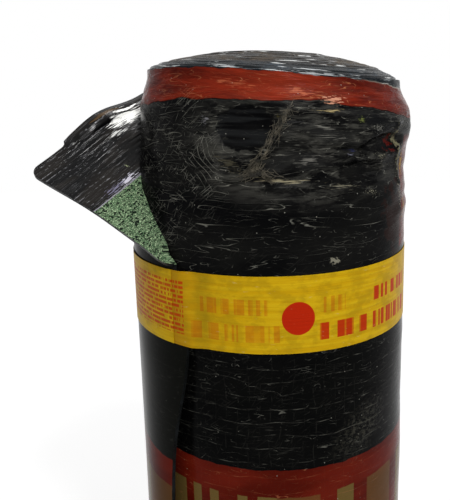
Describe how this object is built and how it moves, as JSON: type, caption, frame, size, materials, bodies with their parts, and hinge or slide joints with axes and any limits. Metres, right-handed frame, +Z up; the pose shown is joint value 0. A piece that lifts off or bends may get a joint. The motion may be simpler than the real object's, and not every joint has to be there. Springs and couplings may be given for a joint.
{
  "type": "roll of roofing felt",
  "caption": "Tall roll of mineral-faced bitumen roofing felt standing on end, with an open bore, banding tapes and a peeled outer corner.",
  "frame": {"origin": "on the floor, below the middle of the whole outline with the peeled flap included; the roll's axis lies to the +X side of it", "axes": "+Z up along the roll's axis; the front is at -Y, and the peeled flap points to -X"},
  "size_m": [0.2878, 0.217, 1.007],
  "materials": {
    "felt": "bitumen sheet in a black film with dark red bands, green mineral granules on its inner face",
    "banding_tape": "glossy yellow plastic tape"
  },
  "bodies": {
    "root": {"felt_roll": "felt", "banding_tape_upper": "banding_tape", "banding_tape_lower": "banding_tape"}
  },
  "joints": []
}
